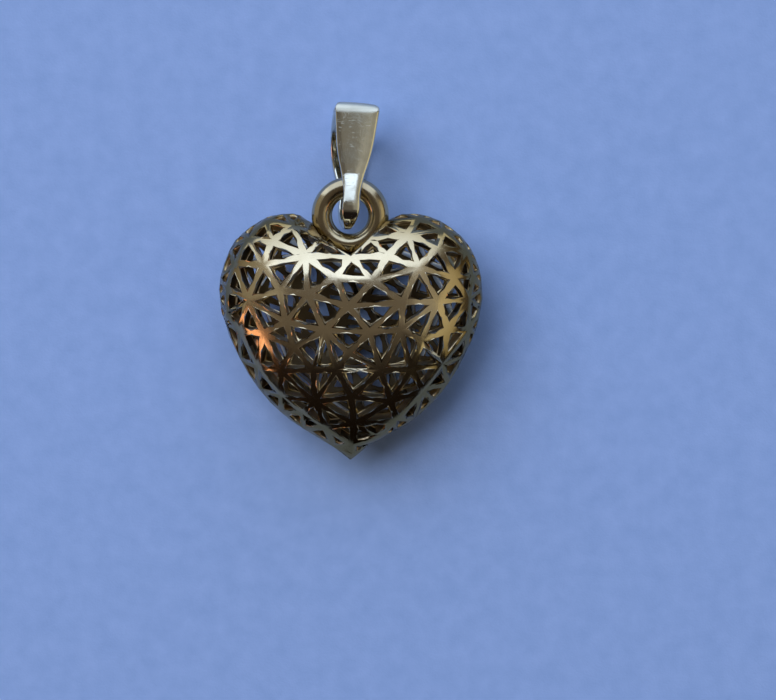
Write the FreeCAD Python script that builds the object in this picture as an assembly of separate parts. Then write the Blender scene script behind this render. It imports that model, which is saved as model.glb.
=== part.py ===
"""A puffed, openwork heart pendant in yellow gold, with a ring in its cleft and a loose bail.

The heart is one hollow casting: a net of struts that meet at joints on a domed surface, with a
triangular opening pierced square to the surface between every three joints. It lies on its back
dome. X runs across the heart, Y from the tip to the bail and Z up, out of the front dome.
"""
import FreeCAD, Part
import math
import os

from FreeCAD import Vector

# Heart, in millimetres
HEART_WIDTH = 18.0
HEART_HEIGHT = 16.8
HEART_THICKNESS = 7.5
CLEFT_DEPTH = 2.76
WALL = 0.7
STRUT_WIDTH = 0.22
SMALLEST_OPENING = 0.06

# Ring that is soldered into a seat filed across the cleft
RING_WIRE = 1.41
RING_BORE = 2.42
SEAT_DEPTH = 0.12
SOLDER_GAP = 0.02

# Bail, a loop of strip folded round the ring's upper wire: its side profile, measured from the
# middle of that wire, with flat front, bellied back and the crest where the front turns into the foot
BAIL_STRIP = 0.5
BAIL_CLEARANCE = 0.54
BAIL_REACH = 5.8
BAIL_FOOT_DROP = 2.85
BAIL_CREST = 0.28
BAIL_FOOT_DEPTH = 2.95
BAIL_FOOT_BEND = 1.5
BAIL_BELLY_DEPTH = 6.42
BAIL_BELLY_HEIGHT = 3.1
BAIL_BELLY_BEND = 2.9
BAIL_TOP_BEND = 0.62
BAIL_CREST_BEND = 3.0

# Bail's strip, seen from the front
BAIL_TOP_WIDTH = 3.1
BAIL_TOP_ROUND = 0.35
BAIL_SHOULDER_WIDTH = 2.58
BAIL_SHOULDER_DROP = 2.8
BAIL_NECK_WIDTH = 1.14
BAIL_NECK_DROP = 0.9
BAIL_FOOT_ROUND = 0.4
BAIL_EDGE = 0.1

# How the bail lies at rest, in degrees, with its back this far over the floor, in millimetres
BAIL_LEAN_SIDE = 2.8
BAIL_TWIST = 12.0
FLOOR_GAP = 0.02

# How far the net's front edge lies inside the heart's widest outline
EDGE_INSET_SIDE = 0.6
EDGE_INSET_TOP = 0.3

# Joints round the front's edge, clockwise from the cleft, in millimetres from the tip
EDGE_JOINTS = (
    (0.4, 14.0), (1.6, 15.2), (2.4, 16.2), (4.7, 16.5), (6.4, 15.7), (8.0, 14.2), (8.4, 12.6),
    (8.2, 11.1), (8.1, 9.0), (6.4, 6.7), (5.1, 5.0), (3.3, 2.9), (2.0, 1.6), (0.3, 1.1),
    (-1.5, 2.4), (-3.0, 3.4), (-4.4, 4.5), (-6.1, 6.5), (-7.2, 8.9), (-8.2, 9.9), (-8.2, 11.7),
    (-7.6, 13.4), (-6.7, 15.1), (-5.6, 16.3), (-3.6, 16.0), (-1.6, 15.1),
)

# Joints inside that edge, from the lobes down to the tip
DOME_JOINTS = (
    (-5.0, 14.9), (-2.6, 14.0), (-5.5, 13.4), (2.8, 14.0), (4.1, 15.4), (6.1, 14.6), (4.9, 13.3),
    (7.3, 12.5), (-0.6, 12.6), (1.9, 12.4), (-4.3, 11.7), (-2.4, 11.5), (-6.6, 11.0), (0.3, 10.7),
    (3.9, 11.0), (6.2, 11.0), (-3.9, 9.6), (-1.3, 9.1), (1.7, 9.0), (3.8, 9.2), (-5.5, 8.8),
    (5.1, 8.4), (6.8, 9.1), (-3.4, 7.9), (0.3, 7.6), (-4.4, 6.3), (-2.1, 6.4), (-0.5, 6.5),
    (2.4, 6.4), (4.4, 6.5), (-2.1, 4.2), (0.4, 4.6), (3.0, 4.3), (0.5, 2.7),
)

# Struts that run across the longer way between two triangles, as the joints at their ends
TURNED_STRUTS = (
    ((-2.6, 14.0), (0.4, 14.0)), ((4.1, 15.4), (1.6, 15.2)), ((1.9, 12.4), (4.9, 13.3)),
    ((0.3, 10.7), (3.9, 11.0)), ((-4.4, 6.3), (-2.1, 4.2)), ((-2.1, 4.2), (0.5, 2.7)),
)

# Directions of the joints on the widest outline, in degrees, clockwise from beside the cleft
OUTLINE_ANGLES = (70, 62, 55, 46, 39, 32, 26, 18, 9, -2, -18, -31, -46, -62, -78, -90,
                  -100, -121, -138, -156, -175, 167, 159, 152, 140, 133, 124, 116, 109)

# Directions of the outline's joints under the ring, in degrees, from the cleft's bottom outwards
CLEFT_ANGLES = (-90, -50, -10)

# The heart's formula is written for a heart about two units wide, with its tip one unit down
FORMULA_HALF_WIDTH = 1.135
FORMULA_TOP = 1.253
FORMULA_CLEFT = 0.94
FORMULA_POWER = 1.8
FORMULA_TIP = 0.4
FORMULA_VALLEY = 0.1
FORMULA_RISE = 0.1
FORMULA_SUMMIT = 1.056

UNIT_X = HEART_WIDTH / 2 / FORMULA_HALF_WIDTH
UNIT_Y = HEART_HEIGHT / (1 + FORMULA_TOP)
UNIT_Z = HEART_THICKNESS / 2 / FORMULA_SUMMIT

RING_RADIUS = (RING_BORE + RING_WIRE) / 2
CLEFT_Y = HEART_HEIGHT - CLEFT_DEPTH
RING_Y = CLEFT_Y - SEAT_DEPTH + RING_RADIUS + RING_WIRE / 2
HINGE_Y = RING_Y + RING_RADIUS


def heart_field(point):
    """Negative inside the puffed heart, zero on its surface and positive outside it."""
    x = point.x / UNIT_X
    y = point.y / UNIT_Y - 1
    z = point.z / UNIT_Z / (1 + FORMULA_RISE * y)
    across = abs(x) / (1 + FORMULA_TIP * min(0, y) ** 2)
    body = across ** 2 + y ** 2 + z ** 2 - 1
    lobes = FORMULA_CLEFT * across ** FORMULA_POWER + FORMULA_VALLEY * z ** 2
    return body ** 3 - lobes * y ** 3


def surface_point(start, direction, reach):
    """The point where a line from inside the heart leaves it."""
    near, far = 0, reach
    for _ in range(60):
        middle = (near + far) / 2
        if heart_field(start + direction * middle) < 0:
            near = middle
        else:
            far = middle
    return start + direction * near


def surface_normal(point):
    """The direction square to the puffed heart at a point of its surface."""
    step = 0.001
    slopes = []
    for axis in (Vector(1, 0, 0), Vector(0, 1, 0), Vector(0, 0, 1)):
        ahead = heart_field(point + axis * step)
        behind = heart_field(point - axis * step)
        slopes.append(ahead - behind)
    return Vector(*slopes).normalize()


def dome_joint(x, y):
    """A joint of the net on the front dome, as its place and its outward direction."""
    drawn_half_width = max(abs(place[0]) for place in EDGE_JOINTS)
    drawn_height = max(place[1] for place in EDGE_JOINTS)
    stretch_x = (HEART_WIDTH / 2 - EDGE_INSET_SIDE) / drawn_half_width
    stretch_y = (HEART_HEIGHT - EDGE_INSET_TOP) / drawn_height
    flat = Vector(x * stretch_x, y * stretch_y, 0)
    place = surface_point(flat, Vector(0, 0, 1), HEART_THICKNESS)
    return place, surface_normal(place)


def outline_joint(angle):
    """A joint on the heart's widest outline, level with the middle of its thickness."""
    turn = math.radians(angle)
    centre = Vector(0, UNIT_Y, 0)
    away = Vector(math.cos(turn), math.sin(turn), 0)
    place = surface_point(centre, away, HEART_WIDTH)
    normal = surface_normal(place)
    return place, Vector(normal.x, normal.y, 0).normalize()


def cleft_joint(angle):
    """A joint in the cleft, so that the ring sinks its seat's depth into the struts between them."""
    turn = math.radians(angle)
    half_step = math.radians(CLEFT_ANGLES[1] - CLEFT_ANGLES[0]) / 2
    reach = (RING_RADIUS + RING_WIRE / 2 - SEAT_DEPTH) / math.cos(half_step)
    away = Vector(math.cos(turn), math.sin(turn), 0)
    return Vector(0, RING_Y, 0) + away * reach, -away


def circle_holds(corners, point):
    """Whether the circle through three flat points, or the line if they lie in one, has a fourth inside."""
    (ax, ay), (bx, by), (cx, cy) = [(p.x - point.x, p.y - point.y) for p in corners]
    test = (ax * ax + ay * ay) * (bx * cy - cx * by)
    test -= (bx * bx + by * by) * (ax * cy - cx * ay)
    test += (cx * cx + cy * cy) * (ax * by - bx * ay)
    turn = (bx - ax) * (cy - ay) - (cx - ax) * (by - ay)
    return abs(turn) < 1e-6 or test * turn > 0


def inside_outline(x, y, outline):
    """Whether a flat point lies inside a closed outline."""
    inside = False
    for one, two in zip(outline, outline[1:] + outline[:1]):
        if (one.y > y) != (two.y > y):
            crossing = one.x + (y - one.y) * (two.x - one.x) / (two.y - one.y)
            if x < crossing:
                inside = not inside
    return inside


def dome_triangles(places, edge_count):
    """Every three joints whose circle holds no other joint, inside the front's edge."""
    edge = places[:edge_count]
    triangles = []
    count = len(places)
    for i in range(count):
        for j in range(i + 1, count):
            for k in range(j + 1, count):
                corners = [places[i], places[j], places[k]]
                if any(circle_holds(corners, p) for n, p in enumerate(places) if n not in (i, j, k)):
                    continue
                middle = (corners[0] + corners[1] + corners[2]) / 3
                if inside_outline(middle.x, middle.y, edge):
                    triangles.append((i, j, k))
    return triangles


def turn_strut(triangles, one, two):
    """Swap the strut between two triangles for the one that joins their far corners."""
    for first in triangles:
        for second in triangles:
            shared = set(first) & set(second)
            if one in first and two in second and len(shared) == 2 and not shared & {one, two}:
                kept = [triangle for triangle in triangles if triangle not in (first, second)]
                return kept + [(one, two, corner) for corner in sorted(shared)]
    return triangles


def band_triangles(inner, outer):
    """A zigzag of triangles between two closed chains of joints, by the shorter diagonal."""
    triangles = []
    i, j = 0, 0
    while i < len(inner) or j < len(outer):
        here, there = inner[i % len(inner)], outer[j % len(outer)]
        next_here, next_there = inner[(i + 1) % len(inner)], outer[(j + 1) % len(outer)]
        step_inner = next_here[0].distanceToPoint(there[0])
        step_outer = here[0].distanceToPoint(next_there[0])
        if j == len(outer) or (i < len(inner) and step_inner < step_outer):
            triangles.append((here, next_here, there))
            i += 1
        else:
            triangles.append((here, there, next_there))
            j += 1
    return triangles


def outward(triangle):
    """The triangle with its corners in the order that faces it away from the heart's inside."""
    a, b, c = [joint[0] for joint in triangle]
    facing = triangle[0][1] + triangle[1][1] + triangle[2][1]
    if (b - a).cross(c - a).dot(facing) < 0:
        return triangle[0], triangle[2], triangle[1]
    return triangle


def mirrored(triangle):
    """The same triangle on the back of the heart."""
    back = [(Vector(p.x, p.y, -p.z), Vector(n.x, n.y, -n.z)) for p, n in triangle]
    return back[0], back[2], back[1]


def line_crossing(point_a, inward_a, point_b, inward_b):
    """Where two lines of one plane cross, each given by a point and its inward direction."""
    along = inward_a.cross(inward_a.cross(inward_b)).normalize()
    reach = (point_b - point_a).dot(inward_b) / along.dot(inward_b)
    return point_a + along * reach


def polygon_face(corners):
    """A flat face with straight edges."""
    return Part.Face(Part.makePolygon(corners + corners[:1]))


def pierced_faces(triangle):
    """The outer skin, inner skin and opening's walls of one triangle of the net."""
    outer = [place for place, normal in triangle]
    inner = [place - normal * WALL for place, normal in triangle]
    square = (outer[1] - outer[0]).cross(outer[2] - outer[0]).normalize()
    inner_square = (inner[1] - inner[0]).cross(inner[2] - inner[0]).normalize()
    lines = []
    for i in range(3):
        a, b = outer[i], outer[(i + 1) % 3]
        inward = square.cross(b - a).normalize()
        skin_edges = (0, (inner[i] - a).dot(inward), (inner[(i + 1) % 3] - a).dot(inward))
        lines.append((a + inward * (max(skin_edges) + STRUT_WIDTH / 2), inward))
    front = [line_crossing(*lines[i - 1], *lines[i]) for i in range(3)]
    centre = (front[0] + front[1] + front[2]) / 3
    room = min((centre - point).dot(inward) for point, inward in lines)
    turned = (front[1] - front[0]).cross(front[2] - front[0]).dot(square)
    if turned < 0 or room < SMALLEST_OPENING:
        return [polygon_face(outer), polygon_face(inner[::-1])]
    back = [p - square * ((p - inner[0]).dot(inner_square) / square.dot(inner_square)) for p in front]
    faces = []
    for i in range(3):
        j = (i + 1) % 3
        faces.append(polygon_face([outer[i], outer[j], front[j], front[i]]))
        faces.append(polygon_face([inner[j], inner[i], back[i], back[j]]))
        faces.append(polygon_face([front[i], front[j], back[j], back[i]]))
    return faces


def heart_triangles():
    """All triangles of the net, front and back."""
    edge = [dome_joint(x, y) for x, y in EDGE_JOINTS]
    dome = edge + [dome_joint(x, y) for x, y in DOME_JOINTS]
    right = [cleft_joint(angle) for angle in CLEFT_ANGLES]
    left = [cleft_joint(180 - angle) for angle in CLEFT_ANGLES[:0:-1]]
    outline = right + [outline_joint(angle) for angle in OUTLINE_ANGLES] + left
    flat = [place for place, normal in dome]
    front = dome_triangles(flat, len(edge))
    joints = EDGE_JOINTS + DOME_JOINTS
    for start, end in TURNED_STRUTS:
        front = turn_strut(front, joints.index(start), joints.index(end))
    triangles = [tuple(dome[n] for n in three) for three in front]
    triangles += band_triangles(edge, outline)
    facing = [outward(triangle) for triangle in triangles]
    return facing + [mirrored(triangle) for triangle in facing]


def ring_shape(clearance):
    """The ring, or with a clearance the space that is filed away for it."""
    return Part.makeTorus(RING_RADIUS, RING_WIRE / 2 + clearance, Vector(0, RING_Y, 0), Vector(0, 0, 1))


def openwork_heart():
    """The hollow heart, one closed solid whose skin runs round every strut, with the ring's seat."""
    faces = []
    for triangle in heart_triangles():
        faces += pierced_faces(triangle)
    shell = Part.Shell(faces)
    shell.sewShape()
    solid = Part.Solid(shell)
    if solid.Volume < 0:
        solid.reverse()
    return solid.cut(ring_shape(SOLDER_GAP)).Solids[0]


def rounded_wire(corners):
    """A closed wire of straight runs joined by tangent arcs, from corners and their radii."""
    bends = []
    for i, (corner, radius) in enumerate(corners):
        before = (corner - corners[i - 1][0]).normalize()
        after = (corners[(i + 1) % len(corners)][0] - corner).normalize()
        half_turn = before.getAngle(after) / 2
        run = radius * math.tan(half_turn)
        start, end = corner - before * run, corner + after * run
        to_centre = (after - before).normalize()
        middle = corner + to_centre * (radius / math.cos(half_turn) - radius)
        bends.append((start, middle, end))
    edges = []
    for i, (start, middle, end) in enumerate(bends):
        edges.append(Part.LineSegment(bends[i - 1][2], start).toShape())
        edges.append(Part.Arc(start, middle, end).toShape())
    return Part.Wire(edges)


def bail_loop():
    """The folded strip at full width: flat in front, bellied behind, and tight at the foot."""
    front = RING_WIRE / 2 + BAIL_CLEARANCE + BAIL_STRIP
    crest = front + BAIL_CREST
    profile = rounded_wire([
        (Vector(0, BAIL_REACH, front), BAIL_TOP_BEND),
        (Vector(0, BAIL_BELLY_HEIGHT, front - BAIL_BELLY_DEPTH), BAIL_BELLY_BEND),
        (Vector(0, -BAIL_FOOT_DROP, crest - BAIL_FOOT_DEPTH), BAIL_FOOT_BEND),
        (Vector(0, -BAIL_FOOT_DROP, crest), BAIL_FOOT_BEND),
        (Vector(0, RING_WIRE / 2, front), BAIL_CREST_BEND),
    ])
    outside = Part.Face(profile)
    inside = outside.makeOffset2D(-BAIL_STRIP)
    loop = outside.cut(inside).extrude(Vector(2 * BAIL_TOP_WIDTH, 0, 0))
    loop.translate(Vector(-BAIL_TOP_WIDTH, 0, 0))
    return loop


def bail_blank():
    """What the strip covers seen from the front: broad at the top and waisted to the foot."""
    top = BAIL_REACH + BAIL_STRIP
    shoulder = BAIL_REACH - BAIL_SHOULDER_DROP
    neck = -BAIL_NECK_DROP
    foot = -BAIL_FOOT_DROP - BAIL_STRIP
    rise = shoulder - neck
    half_top = BAIL_TOP_WIDTH / 2
    half_shoulder = BAIL_SHOULDER_WIDTH / 2
    half_neck = BAIL_NECK_WIDTH / 2
    taper = half_shoulder - half_neck
    edges = []
    for side in (1, -1):
        waist = Part.BezierCurve()
        waist.setPoles([
            Vector(side * half_shoulder, shoulder, 0),
            Vector(side * (half_shoulder - taper / 9), shoulder - rise / 4, 0),
            Vector(side * (half_neck + taper / 4), neck + rise / 2, 0),
            Vector(side * half_neck, neck, 0),
        ])
        flank_top = Vector(side * half_top, top, 0)
        flank_foot = Vector(side * half_neck, foot, 0)
        edges.append(Part.LineSegment(flank_top, waist.StartPoint).toShape())
        edges.append(waist.toShape())
        edges.append(Part.LineSegment(waist.EndPoint, flank_foot).toShape())
    for height, reach in ((top, half_top), (foot, half_neck)):
        edges.append(Part.LineSegment(Vector(reach, height, 0), Vector(-reach, height, 0)).toShape())
    outline = Part.Face(Part.Wire(Part.__sortEdges__(edges)))
    blank = outline.extrude(Vector(0, 0, 2 * BAIL_BELLY_DEPTH))
    blank.translate(Vector(0, 0, -BAIL_BELLY_DEPTH))
    return blank


def filed_corner(corner, inward, radius):
    """What is filed off a corner of the strip to round it, right through from front to back."""
    reach = 2 * BAIL_BELLY_DEPTH
    middle = corner + inward * radius + Vector(0, 0, -reach / 2)
    block = Part.makeBox(2 * radius, 2 * radius, reach)
    block.translate(corner - Vector(radius, radius, reach / 2))
    return block.cut(Part.makeCylinder(radius, reach, middle))


def leaned(strip, angle):
    """The bail leaned back about the ring's upper wire, by an angle in degrees."""
    copy = strip.copy()
    copy.rotate(Vector(0, 0, 0), Vector(1, 0, 0), -angle)
    return copy


def laid_down(strip):
    """The bail leaned back until its belly lies just over the floor."""
    floor = FLOOR_GAP - HEART_THICKNESS / 2
    clear, through = -45, 45
    for _ in range(12):
        angle = (clear + through) / 2
        if leaned(strip, angle).optimalBoundingBox(False, False).ZMin > floor:
            clear = angle
        else:
            through = angle
    print("bail leans back", round(clear, 2), "degrees")
    return leaned(strip, clear)


def bail():
    """The folded bail, modelled upright about the ring's upper wire and laid down beside the heart."""
    strip = bail_loop().common(bail_blank()).Solids[0]
    strip = strip.makeChamfer(BAIL_EDGE, strip.Edges)
    for side in (1, -1):
        foot_corner = Vector(side * BAIL_NECK_WIDTH / 2, -BAIL_FOOT_DROP, 0)
        strip = strip.cut(filed_corner(foot_corner, Vector(-side, 1, 0), BAIL_FOOT_ROUND))
        top_corner = Vector(side * BAIL_TOP_WIDTH / 2, BAIL_REACH, 0)
        strip = strip.cut(filed_corner(top_corner, Vector(-side, -1, 0), BAIL_TOP_ROUND))
    strip = strip.Solids[0]
    origin = Vector(0, 0, 0)
    strip.rotate(origin, Vector(0, 1, 0), BAIL_TWIST)
    strip.rotate(origin, Vector(0, 0, 1), -BAIL_LEAN_SIDE)
    strip = laid_down(strip)
    strip.translate(Vector(0, HINGE_Y, 0))
    return strip


def main():
    parts = {"openwork_heart": openwork_heart(), "top_ring": ring_shape(0), "bail": bail()}
    box = Part.makeCompound(list(parts.values())).optimalBoundingBox(False, False)
    to_floor = Vector(-(box.XMin + box.XMax) / 2, -(box.YMin + box.YMax) / 2, -box.ZMin)
    os.makedirs("parts", exist_ok=True)
    for name, shape in parts.items():
        shape.translate(to_floor)
        shape.exportStep("parts/" + name + ".step")
        print(name, shape.ShapeType, shape.isValid(), round(shape.Volume, 3),
              shape.optimalBoundingBox(False, False))
    print("hinge", Vector(0, HINGE_Y, 0) + to_floor)
    print("ring centre", Vector(0, RING_Y, 0) + to_floor)


main()
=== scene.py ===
"""A gold heart pendant of pierced net, with its ring and loose bail, on pale blue paper."""

import math

import bpy
from mathutils import Matrix, Vector


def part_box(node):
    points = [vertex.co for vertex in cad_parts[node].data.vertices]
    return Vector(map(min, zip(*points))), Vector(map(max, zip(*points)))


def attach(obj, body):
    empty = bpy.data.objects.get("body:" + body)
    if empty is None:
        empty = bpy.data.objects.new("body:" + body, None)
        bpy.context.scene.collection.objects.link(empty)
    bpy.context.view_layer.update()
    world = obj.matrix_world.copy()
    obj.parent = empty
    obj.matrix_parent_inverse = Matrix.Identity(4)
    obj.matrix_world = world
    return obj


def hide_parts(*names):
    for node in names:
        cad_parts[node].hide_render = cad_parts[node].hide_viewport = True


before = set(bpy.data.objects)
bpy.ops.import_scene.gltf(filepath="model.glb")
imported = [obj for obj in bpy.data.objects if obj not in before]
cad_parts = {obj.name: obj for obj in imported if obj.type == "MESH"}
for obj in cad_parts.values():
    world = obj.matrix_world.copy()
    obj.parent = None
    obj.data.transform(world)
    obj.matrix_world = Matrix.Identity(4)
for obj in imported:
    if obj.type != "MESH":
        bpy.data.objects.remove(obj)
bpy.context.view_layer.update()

MM = 0.001

# The camera looks down from a little to the right and above, at a point beside the heart's middle
AIM_RIGHT_OF_TIP = 2.55 * MM
AIM_ABOVE_TIP = 7.52 * MM
CAMERA_DISTANCE = 200 * MM
CAMERA_SIDE = math.radians(6)
CAMERA_ABOVE = math.radians(5)
FRAME_WIDTH = 52.1 * MM
NEAREST_SEEN = 0.001
FARTHEST_SEEN = 10

# The camera's sensor, in Blender's own unit of millimetres
SENSOR_WIDTH = 36

# Points nearer to each other than this are merged
MERGE_DISTANCE = 0.001 * MM

# Heart's net: which triangles join to quads, which edges count as sharp, and how round those are
JOINED_FLATNESS = 0.02
JOINED_SHAPE = 3.1
SHARP = math.radians(48)
NET_ROUNDING = 0.055 * MM

# Heart's core, and how squarely away from it the openings' walls and the lining look at most
CORE_REACH = 3.5 * MM
WALL_FACING = 0.35
LINING_FACING = -0.4

# Heart's flank, darkened with painted shade: how far from the widest outline the painted shade starts to
# fade, and where it is gone
FLANK_SHADE_START = 1.5 * MM
FLANK_SHADE_END = 3.3 * MM

# Heart's walls, paler as a painted highlight, and lining, darker as painted shade, in its list of
# materials, after its own gold
LIT_WALLS = 1
SHADED_LINING = 2

# Ring: its wire and bore, how much thinner it is drawn than its solid, and its faces round each
RING_WIRE = 1.41 * MM
RING_BORE = 2.42 * MM
WIRE_INSET = 0.004 * MM
WIRE_FACES = 28
BORE_FACES = 72

# Bail's side profile, measured from the middle of the ring's upper wire
BAIL_STRIP = 0.5 * MM
BAIL_CLEARANCE = 0.54 * MM
BAIL_REACH = 5.8 * MM
BAIL_FOOT_DROP = 2.85 * MM
BAIL_CREST = 0.28 * MM
BAIL_FOOT_DEPTH = 2.95 * MM
BAIL_FOOT_BEND = 1.5 * MM
BAIL_BELLY_DEPTH = 6.42 * MM
BAIL_BELLY_HEIGHT = 3.1 * MM
BAIL_BELLY_BEND = 2.9 * MM
BAIL_TOP_BEND = 0.62 * MM
BAIL_CREST_BEND = 3.0 * MM

# Bail's half width at heights over the ring's upper wire, from the foot to the top
BAIL_HALF_WIDTHS = [(height * MM, half * MM) for height, half in (
    (-2.85, 0.3), (-2.7, 0.4), (-2.4, 0.5), (-1.9, 0.6), (-1.4, 0.62), (-0.9, 0.56), (-0.5, 0.58),
    (0.0, 0.66), (0.75, 0.82), (1.3, 0.97), (2.05, 1.16), (3.0, 1.3), (4.7, 1.47), (5.05, 1.5),
    (5.25, 1.47), (5.38, 1.4), (5.45, 1.31), (5.49, 1.2))]

# Bail's strip: how far its middle stands proud, and how round its edges are
BAIL_CROWN = 0.05 * MM
BAIL_ROUNDING = 0.13 * MM
BAIL_EDGE = math.radians(60)

# Bail's mesh: faces across, their length on straight runs, their turn in bends, and the first grid's reach
BAIL_COLUMNS = 4
BAIL_STEP = 0.45 * MM
BAIL_BEND_STEP = math.radians(11)
GRID_REACH = 1 * MM

# How the bail lies
BAIL_LEAN_BACK = math.radians(9.51)
BAIL_LEAN_SIDE = math.radians(2.8)
BAIL_TWIST = math.radians(12)

# Sockets of the node that mixes two colours
MIX_SHARE = 0
MIX_ONE = 6
MIX_TWO = 7
MIX_RESULT = 2

# Patterns of gold and paper: how broken up their clouds are
CLOUD_ROUGHNESS = 0.55

# Gold's patterns: their sizes, and the levels between which film and scratches come in
FILM_SIZE = 2.6 * MM
FILM_LEVELS = (0.42, 0.68)
GRAIN_SIZE = 0.25 * MM
WAVE_SIZE = 1.1 * MM
SCRATCH_SIZE = 0.09 * MM
SCRATCH_STRETCH = (1.0, 0.06, 1.0)
SCRATCH_LEVELS = (0.6, 0.72)
CROSS_SCRATCH_STRETCH = (0.07, 1.0, 1.0)
CROSS_SCRATCH_LEVELS = (0.62, 0.72)

# Gold's patterns: what each adds to its height, its dullness and its roughness
WAVE_HEIGHT = 0.6
GRAIN_HEIGHT = 0.1
FILM_DULLNESS = 0.7
GRAIN_DULLNESS = 0.2
FILM_ROUGHNESS = 0.08
GRAIN_ROUGHNESS = 0.05
SCRATCH_ROUGHNESS = 0.05

# Bail's satin top, also darkened with painted shade: where it starts, how soon it is full, and what it adds
# to roughness and to the painted shade
SATIN_AND_SHADE_FROM = 11.35 * MM
SATIN_FADE = 0.25 * MM
SATIN_ROUGHNESS = 0.3
SATIN_PAINTED_SHADE = 0.5

# Paper: its sheet, in metres, then its patterns and colours
PAPER_SIZE = 3
PAPER_CLOUD_SIZE = 1.4 * MM
PAPER_TOOTH_SIZE = 0.16 * MM
PAPER_CLOUD_HEIGHT = 0.5
PAPER_DEEP_BLUE = (0.185, 0.29, 0.555, 1)
PAPER_PALE_BLUE = (0.255, 0.366, 0.672, 1)

# Lamps, in metres: name, place, point it faces, width and height, glow, colour, and whether gold mirrors it
LAMPS = (
    ("window", (-0.15, 0.5, 0.6), (-0.15, 0, 0.6), (1.3, 1.2), 1.35, (0.8, 1.0, 1.35), True),
    ("ceiling", (0.5, 0.45, 1.6), (0.5, 0.45, 0), (0.5, 0.5), 0.07, (0.95, 1.0, 0.97), True),
    ("left_wall", (-0.6, 0.28, 0.5), (0, 0.28, 0.5), (0.65, 0.95), 0.22, (1.0, 1.0, 0.86), True),
    ("right_wall", (0.56, 0.1, 1.1), (0, 0.1, 1.1), (0.9, 0.8), 0.2, (1.0, 1.0, 0.9), True),
    ("yellow_card", (0.55, -0.08, 0.43), (0, -0.08, 0.43), (0.74, 0.52), 0.5, (1.0, 0.92, 0.6), True),
    ("warm_lamp", (-0.49, -0.2, 0.2), (0, 0, 0), (0.2, 0.22), 2.0, (1.0, 0.5, 0.3), True),
    ("fill", (-0.45, 0.48, 0.92), (0, 0, 0), (0.95, 0.95), 3.3, (1.0, 1.0, 1.0), False),
)

# Room's own light, dark where the line of sight falls steeply along Y and pale above that
ROOM_DARK = (0.011, 0.008, 0.007, 1)
ROOM_PALE = (0.12, 0.105, 0.088, 1)
ROOM_DARK_BELOW = -0.52
ROOM_PALE_ABOVE = -0.22


def alone(piece):
    """Make one piece the only selected one."""
    bpy.ops.object.select_all(action="DESELECT")
    piece.select_set(True)
    bpy.context.view_layer.objects.active = piece


def start_editing(piece):
    """Enter edit mode with the whole mesh of one piece selected."""
    alone(piece)
    bpy.ops.object.mode_set(mode="EDIT")
    bpy.ops.mesh.select_mode(type="VERT")
    bpy.ops.mesh.select_all(action="SELECT")


def stop_editing():
    """Go back to object mode."""
    bpy.ops.object.mode_set(mode="OBJECT")


def modified(piece, kind, **settings):
    """Add a modifier, set it and apply it."""
    alone(piece)
    modifier = piece.modifiers.new(kind.lower(), kind)
    for key, value in settings.items():
        setattr(modifier, key, value)
    bpy.ops.object.modifier_apply(modifier=modifier.name)


def subdivided(piece):
    """Subdivide a piece once, so that it is smooth."""
    modified(piece, "SUBSURF", levels=1, render_levels=1)


def keep_place():
    """Put the active piece's place and turn into its mesh."""
    bpy.ops.object.transform_apply(location=True, rotation=True, scale=True)


def middle_of(box):
    """The middle of a box, which is given by its lowest and highest corners."""
    low, high = box
    return (low + high) / 2


def merged_copy(node, name):
    """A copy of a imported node, free of the frame, with its loose triangles joined to a closed surface."""
    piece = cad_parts[node].copy()
    piece.data = piece.data.copy()
    piece.name = name
    piece.parent = None
    bpy.context.scene.collection.objects.link(piece)
    for key in list(piece.keys()):
        del piece[key]
    start_editing(piece)
    bpy.ops.mesh.remove_doubles(threshold=MERGE_DISTANCE)
    bpy.ops.mesh.customdata_custom_splitnormals_clear()
    stop_editing()
    return piece


class Value:
    """A shader socket that writes its maths with Python's own operators."""

    def __init__(self, finish, socket):
        self.finish = finish
        self.socket = socket

    def __add__(self, other):
        return self.finish.sum("ADD", self, other)

    def __sub__(self, other):
        return self.finish.sum("SUBTRACT", self, other)

    def __mul__(self, other):
        return self.finish.sum("MULTIPLY", self, other)

    def __radd__(self, other):
        return self.finish.sum("ADD", other, self)

    def __rsub__(self, other):
        return self.finish.sum("SUBTRACT", other, self)

    def __rmul__(self, other):
        return self.finish.sum("MULTIPLY", other, self)


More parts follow.
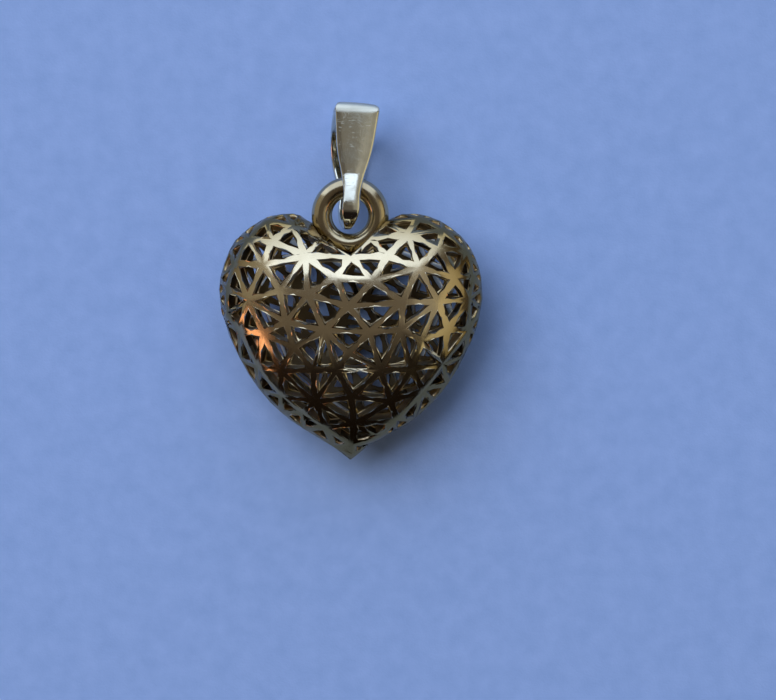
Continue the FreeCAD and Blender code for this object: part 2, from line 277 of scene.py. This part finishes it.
class Finish:
    """The nodes that make one material, or the light of the room."""

    def __init__(self, owner):
        owner.use_nodes = True
        self.owner = owner
        self.tree = owner.node_tree
        self.tree.nodes.clear()

    def node(self, kind, settings=None, inputs=None, output=0):
        """Add a node, set it, fill its sockets with values or links, and give one of its outputs."""
        made = self.tree.nodes.new(kind)
        for key, value in (settings or {}).items():
            if key == "stops":
                for stop, (place, colour) in zip(made.color_ramp.elements, value):
                    stop.position = place
                    stop.color = colour
            else:
                setattr(made, key, value)
        for key, value in (inputs or {}).items():
            if isinstance(value, Value):
                self.tree.links.new(value.socket, made.inputs[key])
            else:
                made.inputs[key].default_value = value
        return Value(self, made.outputs[output]) if made.outputs else None

    def sum(self, operation, *parts):
        """One step of arithmetic."""
        return self.node("ShaderNodeMath", {"operation": operation}, dict(enumerate(parts)))

    def ramp(self, share, low, high):
        """0 where a value is at the low end, 1 at the high end."""
        return self.node("ShaderNodeMapRange", inputs={"Value": share, "From Min": low, "From Max": high})

    def blend(self, share, one, two):
        """A colour between two others."""
        return self.node(
            "ShaderNodeMix", {"data_type": "RGBA"}, {MIX_SHARE: share, MIX_ONE: one, MIX_TWO: two},
            MIX_RESULT)

    def noise(self, size, detail, stretch=(1, 1, 1)):
        """A cloudy pattern whose clouds are about this size, drawn out where stretch is under 1."""
        where = self.node("ShaderNodeTexCoord", output="Object")
        place = self.node("ShaderNodeMapping", inputs={"Vector": where, "Scale": stretch})
        return self.node("ShaderNodeTexNoise", inputs={
            "Vector": place, "Scale": 1 / size, "Detail": detail, "Roughness": CLOUD_ROUGHNESS})

    def coordinate(self, axis, kind="Object"):
        """One coordinate, in metres on a piece, or along the line of sight in the room."""
        where = self.node("ShaderNodeTexCoord", output=kind)
        return self.node("ShaderNodeSeparateXYZ", inputs={"Vector": where}, output=axis)

    def clear_of_flank_shade(self):
        """0 at the heart's widest outline, where the gold is darkened with painted shade, 1 on its domes.
        """
        height = self.coordinate("Z") - middle_of(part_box("openwork_heart")).z
        return self.ramp(self.sum("ABSOLUTE", height), FLANK_SHADE_START, FLANK_SHADE_END)

    def bump(self, height, strength, depth):
        """Small hills and hollows of this depth."""
        return self.node("ShaderNodeBump", inputs={
            "Height": height, "Strength": strength, "Distance": depth})

    def surface(self, inputs):
        """The finished material, with a shader of these inputs."""
        shader = self.node("ShaderNodeBsdfPrincipled", inputs=inputs)
        self.node("ShaderNodeOutputMaterial", inputs={"Surface": shader})
        return self.owner


def gold(name, bright, dull, roughness, scratch_depth, flank_shade=None, satin_and_shade_from=None):
    """Yellow gold: uneven colour, a hazy film in places, soft waves and fine scratches; where asked,
    painted shade near the heart's widest outline or on a darker, rougher satin top.
    """
    finish = Finish(bpy.data.materials.new(name))
    film = finish.ramp(finish.noise(FILM_SIZE, detail=3.0), *FILM_LEVELS)
    grain = finish.noise(GRAIN_SIZE, detail=3.0)
    waves = finish.noise(WAVE_SIZE, detail=1.0)
    scratches = finish.ramp(
        finish.noise(SCRATCH_SIZE, detail=2.0, stretch=SCRATCH_STRETCH), *SCRATCH_LEVELS)
    cross_scratches = finish.ramp(
        finish.noise(SCRATCH_SIZE, detail=2.0, stretch=CROSS_SCRATCH_STRETCH), *CROSS_SCRATCH_LEVELS)
    height = (waves * WAVE_HEIGHT + grain * GRAIN_HEIGHT
              - scratches * scratch_depth - cross_scratches * scratch_depth)
    bump = finish.bump(height, strength=0.35, depth=0.02 * MM)
    colour = finish.blend(film * FILM_DULLNESS + grain * GRAIN_DULLNESS, bright, dull)
    rough = (roughness + film * FILM_ROUGHNESS + grain * GRAIN_ROUGHNESS
             + scratches * SCRATCH_ROUGHNESS)
    # Painted shade: near the widest outline the colour is blended towards a dark flank colour
    if flank_shade:
        colour = finish.blend(finish.clear_of_flank_shade(), flank_shade, colour)
    # Painted shade at the bail's top: the colour is blended towards the dull one there, as well as made
    # rougher as satin
    if satin_and_shade_from:
        satin_and_shade = finish.ramp(finish.coordinate("Y"), satin_and_shade_from, satin_and_shade_from + SATIN_FADE)
        rough = rough + satin_and_shade * SATIN_ROUGHNESS
        colour = finish.blend(satin_and_shade * SATIN_PAINTED_SHADE, colour, dull)
    return finish.surface({"Base Color": colour, "Metallic": 1.0, "Roughness": rough, "Normal": bump})


def paper():
    """Pale blue matt paper with a faint cloudy tooth."""
    finish = Finish(bpy.data.materials.new("blue_paper"))
    clouds = finish.noise(PAPER_CLOUD_SIZE, detail=4.0)
    tooth = finish.noise(PAPER_TOOTH_SIZE, detail=3.0)
    return finish.surface({
        "Base Color": finish.blend(clouds, PAPER_DEEP_BLUE, PAPER_PALE_BLUE),
        "Roughness": 0.9,
        "Specular IOR Level": 0.2,
        "Normal": finish.bump(tooth + clouds * PAPER_CLOUD_HEIGHT, strength=0.5, depth=0.03 * MM),
    })


def dress(piece, material):
    """Give a piece one material all over."""
    piece.data.materials.clear()
    piece.data.materials.append(material)
    for face in piece.data.polygons:
        face.material_index = 0


def enter(piece, node, body):
    """Let a piece stand for a node and move with its body."""
    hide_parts(node)
    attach(piece, body)


def crease_sharp_edges(piece):
    """Keep the sharp edges of a piece sharp when it is subdivided."""
    mesh = piece.data
    normals = {}
    for face in mesh.polygons:
        for key in face.edge_keys:
            normals.setdefault(key, []).append(face.normal)
    crease = mesh.attributes.new("crease_edge", "FLOAT", "EDGE")
    for edge in mesh.edges:
        sides = normals[tuple(sorted(edge.vertices))]
        if len(sides) == 2 and sides[0].angle(sides[1]) > SHARP:
            crease.data[edge.index].value = 1.0


def line_inside(heart, lit_walls, shaded_lining):
    """Give the openings' walls and the inner skin, which polishing can't reach, their own rougher finishes:
    the walls drawn paler, a painted highlight, and the inner skin darker, painted shade.
    """
    middle = middle_of(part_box("openwork_heart"))
    heart.data.materials.append(lit_walls)
    heart.data.materials.append(shaded_lining)
    for face in heart.data.polygons:
        core = Vector((
            max(-CORE_REACH, min(CORE_REACH, face.center.x)),
            max(middle.y - CORE_REACH, min(middle.y + CORE_REACH, face.center.y)),
            middle.z))
        facing = face.normal.dot((face.center - core).normalized())
        if facing < LINING_FACING:
            face.material_index = SHADED_LINING
        elif facing < WALL_FACING:
            face.material_index = LIT_WALLS


def pierced_heart():
    """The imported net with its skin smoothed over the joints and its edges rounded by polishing."""
    heart = merged_copy("openwork_heart", "pierced_heart")
    start_editing(heart)
    bpy.ops.mesh.tris_convert_to_quads(face_threshold=JOINED_FLATNESS, shape_threshold=JOINED_SHAPE)
    stop_editing()
    crease_sharp_edges(heart)
    subdivided(heart)
    bpy.ops.object.duplicate()
    skin = bpy.context.object
    modified(heart, "BEVEL", width=NET_ROUNDING, segments=1, limit_method="ANGLE",
             angle_limit=SHARP, use_clamp_overlap=False)
    modified(heart, "SHRINKWRAP", target=skin, wrap_method="NEAREST_SURFACEPOINT")
    alone(skin)
    bpy.ops.object.delete()
    alone(heart)
    bpy.ops.object.shade_smooth()
    modified(heart, "WEIGHTED_NORMAL")
    return heart


def soldered_ring():
    """A round wire ring, standing upright in the cleft."""
    bpy.ops.object.select_all(action="DESELECT")
    bpy.ops.mesh.primitive_torus_add(
        location=middle_of(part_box("top_ring")),
        major_radius=(RING_BORE + RING_WIRE) / 2, minor_radius=RING_WIRE / 2 - WIRE_INSET,
        major_segments=BORE_FACES, minor_segments=WIRE_FACES)
    ring = bpy.context.object
    ring.name = "soldered_ring"
    keep_place()
    subdivided(ring)
    bpy.ops.object.shade_smooth()
    return ring


def profile_stations():
    """Points round the bail's outer profile, as height and depth, with its bends in small steps."""
    front = RING_WIRE / 2 + BAIL_CLEARANCE + BAIL_STRIP
    crest = front + BAIL_CREST
    corners = (
        (BAIL_REACH, front, BAIL_TOP_BEND),
        (BAIL_BELLY_HEIGHT, front - BAIL_BELLY_DEPTH, BAIL_BELLY_BEND),
        (-BAIL_FOOT_DROP, crest - BAIL_FOOT_DEPTH, BAIL_FOOT_BEND),
        (-BAIL_FOOT_DROP, crest, BAIL_FOOT_BEND),
        (RING_WIRE / 2, front, BAIL_CREST_BEND),
    )
    bends = []
    for index, (height, depth, radius) in enumerate(corners):
        corner = Vector((height, depth))
        before = (corner - Vector(corners[index - 1][:2])).normalized()
        after = (Vector(corners[(index + 1) % len(corners)][:2]) - corner).normalized()
        turn = before.angle_signed(after)
        run = radius * math.tan(abs(turn) / 2)
        bends.append((corner - before * run, corner + after * run, before, turn, radius))
    stations = []
    last = bends[-1][1]
    for start, end, before, turn, radius in bends:
        steps = max(1, round((start - last).length / BAIL_STEP))
        stations += [last.lerp(start, step / steps) for step in range(1, steps)]
        side = Vector((before.y, -before.x)) if turn > 0 else Vector((-before.y, before.x))
        centre = start + side * radius
        arm = -side * radius
        steps = max(2, round(abs(turn) / BAIL_BEND_STEP))
        for step in range(steps + 1):
            angle = -turn * step / steps
            stations.append(centre + Vector((
                arm.x * math.cos(angle) - arm.y * math.sin(angle),
                arm.x * math.sin(angle) + arm.y * math.cos(angle))))
        last = end
    return stations


def half_width(height):
    """The bail's half width at a height, on straight lines between the listed ones."""
    for (low, narrow), (high, wide) in zip(BAIL_HALF_WIDTHS, BAIL_HALF_WIDTHS[1:]):
        if height <= high:
            share = min(1, max(0, (height - low) / (high - low)))
            return narrow + (wide - narrow) * share
    return BAIL_HALF_WIDTHS[-1][1]


def folded_bail():
    """A strip drawn round the bail's profile, given its thickness and rounded, then laid as it rests."""
    stations = profile_stations()
    count = len(stations)
    bpy.ops.object.select_all(action="DESELECT")
    bpy.ops.mesh.primitive_grid_add(
        x_subdivisions=BAIL_COLUMNS, y_subdivisions=count, size=2 * GRID_REACH)
    bail = bpy.context.object
    bail.name = "folded_bail"
    for vertex in bail.data.vertices:
        across = vertex.co.x / GRID_REACH
        row = round((vertex.co.y / GRID_REACH + 1) / 2 * count) % count
        here = stations[row]
        along = (stations[(row + 1) % count] - stations[row - 1]).normalized()
        lift = Vector((-along.y, along.x)) * BAIL_CROWN * (1 - across ** 2)
        vertex.co = (across * half_width(here.x), here.x + lift.x, here.y + lift.y)
    start_editing(bail)
    bpy.ops.mesh.remove_doubles(threshold=MERGE_DISTANCE)
    bpy.ops.mesh.normals_make_consistent(inside=False)
    stop_editing()
    modified(bail, "SOLIDIFY", thickness=BAIL_STRIP, offset=-1, use_even_offset=True)
    modified(bail, "BEVEL", width=BAIL_ROUNDING, segments=2, limit_method="ANGLE",
             angle_limit=BAIL_EDGE)
    subdivided(bail)
    bpy.ops.object.shade_smooth()
    for turns in ((0, BAIL_TWIST, 0), (0, 0, -BAIL_LEAN_SIDE), (-BAIL_LEAN_BACK, 0, 0)):
        bail.rotation_euler = turns
        keep_place()
    low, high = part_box("top_ring")
    hinge_height = (low.y + high.y) / 2 + (RING_BORE + RING_WIRE) / 2
    bail.location = ((low.x + high.x) / 2, hinge_height, (low.z + high.z) / 2)
    keep_place()
    return bail


def camera():
    """The camera, straight above the paper but for a small lean, with the pendant in the photo's place."""
    low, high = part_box("openwork_heart")
    tip = Vector(((low.x + high.x) / 2, low.y, (low.z + high.z) / 2))
    aim = tip + Vector((AIM_RIGHT_OF_TIP, AIM_ABOVE_TIP, 0))
    away = Vector((math.tan(CAMERA_SIDE), math.tan(CAMERA_ABOVE), 1)).normalized()
    right = Vector((0, 1, 0)).cross(away).normalized()
    up = away.cross(right)
    data = bpy.data.cameras.new("camera")
    data.sensor_width = SENSOR_WIDTH
    data.lens = SENSOR_WIDTH * CAMERA_DISTANCE / FRAME_WIDTH
    data.clip_start = NEAREST_SEEN
    data.clip_end = FARTHEST_SEEN
    piece = bpy.data.objects.new("camera", data)
    piece.location = aim + away * CAMERA_DISTANCE
    piece.rotation_euler = Matrix((right, up, away)).transposed().to_euler()
    bpy.context.scene.collection.objects.link(piece)
    bpy.context.scene.camera = piece


def area_lamp(name, place, aim, size, glow, colour, mirrored):
    """A soft box of this glow, unseen by the camera."""
    width, height = size
    data = bpy.data.lights.new(name, "AREA")
    data.shape = "RECTANGLE"
    data.size = width
    data.size_y = height
    data.energy = glow * math.pi * width * height
    data.color = colour
    lamp = bpy.data.objects.new(name, data)
    lamp.location = place
    lamp.rotation_euler = (Vector(place) - Vector(aim)).to_track_quat("Z", "Y").to_euler()
    lamp.visible_camera = False
    lamp.visible_glossy = mirrored
    bpy.context.scene.collection.objects.link(lamp)


def room():
    """A dim room, darkest on the near side."""
    world = bpy.data.worlds.new("room")
    bpy.context.scene.world = world
    light = Finish(world)
    share = light.ramp(light.coordinate("Y", "Generated"), ROOM_DARK_BELOW, ROOM_PALE_ABOVE)
    colour = light.node(
        "ShaderNodeValToRGB", {"stops": ((0.0, ROOM_DARK), (1.0, ROOM_PALE))}, {"Fac": share})
    background = light.node("ShaderNodeBackground", inputs={"Color": colour})
    light.node("ShaderNodeOutputWorld", inputs={"Surface": background})


def studio():
    """The paper that the pendant lies on, the lamps and the room."""
    bpy.ops.object.select_all(action="DESELECT")
    bpy.ops.mesh.primitive_plane_add(size=PAPER_SIZE, location=(0, 0, 0))
    floor = bpy.context.object
    floor.name = "floor"
    dress(floor, paper())
    for lamp in LAMPS:
        area_lamp(*lamp)
    room()


bpy.ops.object.select_all(action="DESELECT")
camera()

heart = pierced_heart()
# The heart's gold, with painted shade near its widest outline
dress(heart, gold(
    "heart_gold", bright=(0.82, 0.69, 0.46, 1), dull=(0.68, 0.55, 0.34, 1),
    flank_shade=(0.27, 0.19, 0.075, 1), roughness=0.12, scratch_depth=0.1))
# The openings' walls: satin gold drawn paler than the outer gold as a painted highlight, with painted shade
# near the widest outline too
heart_wall_painted_light = gold(
    "heart_wall_painted_light", bright=(0.97, 0.87, 0.66, 1), dull=(0.78, 0.66, 0.45, 1),
    flank_shade=(0.55, 0.42, 0.25, 1), roughness=0.3, scratch_depth=0.1)
# The inner skin: satin gold drawn dark as painted shade
heart_lining_painted_shade = gold(
    "heart_lining_painted_shade", bright=(0.2, 0.15, 0.085, 1), dull=(0.07, 0.05, 0.03, 1),
    roughness=0.3, scratch_depth=0.1)
line_inside(heart, heart_wall_painted_light, heart_lining_painted_shade)
enter(heart, "openwork_heart", "heart_body")

ring = soldered_ring()
# The ring's gold is drawn darker than the heart's, as painted shade
dress(ring, gold(
    "ring_gold", bright=(0.52, 0.43, 0.27, 1), dull=(0.32, 0.25, 0.15, 1),
    roughness=0.12, scratch_depth=0.12))
enter(ring, "top_ring", "heart_body")

bail = folded_bail()
# The bail's gold, with painted shade on its satin top
dress(bail, gold(
    "bail_gold", bright=(0.8, 0.77, 0.64, 1), dull=(0.54, 0.52, 0.42, 1),
    roughness=0.07, scratch_depth=0.15, satin_and_shade_from=SATIN_AND_SHADE_FROM))
enter(bail, "bail", "bail_body")

studio()
bpy.context.scene.view_settings.view_transform = "Standard"
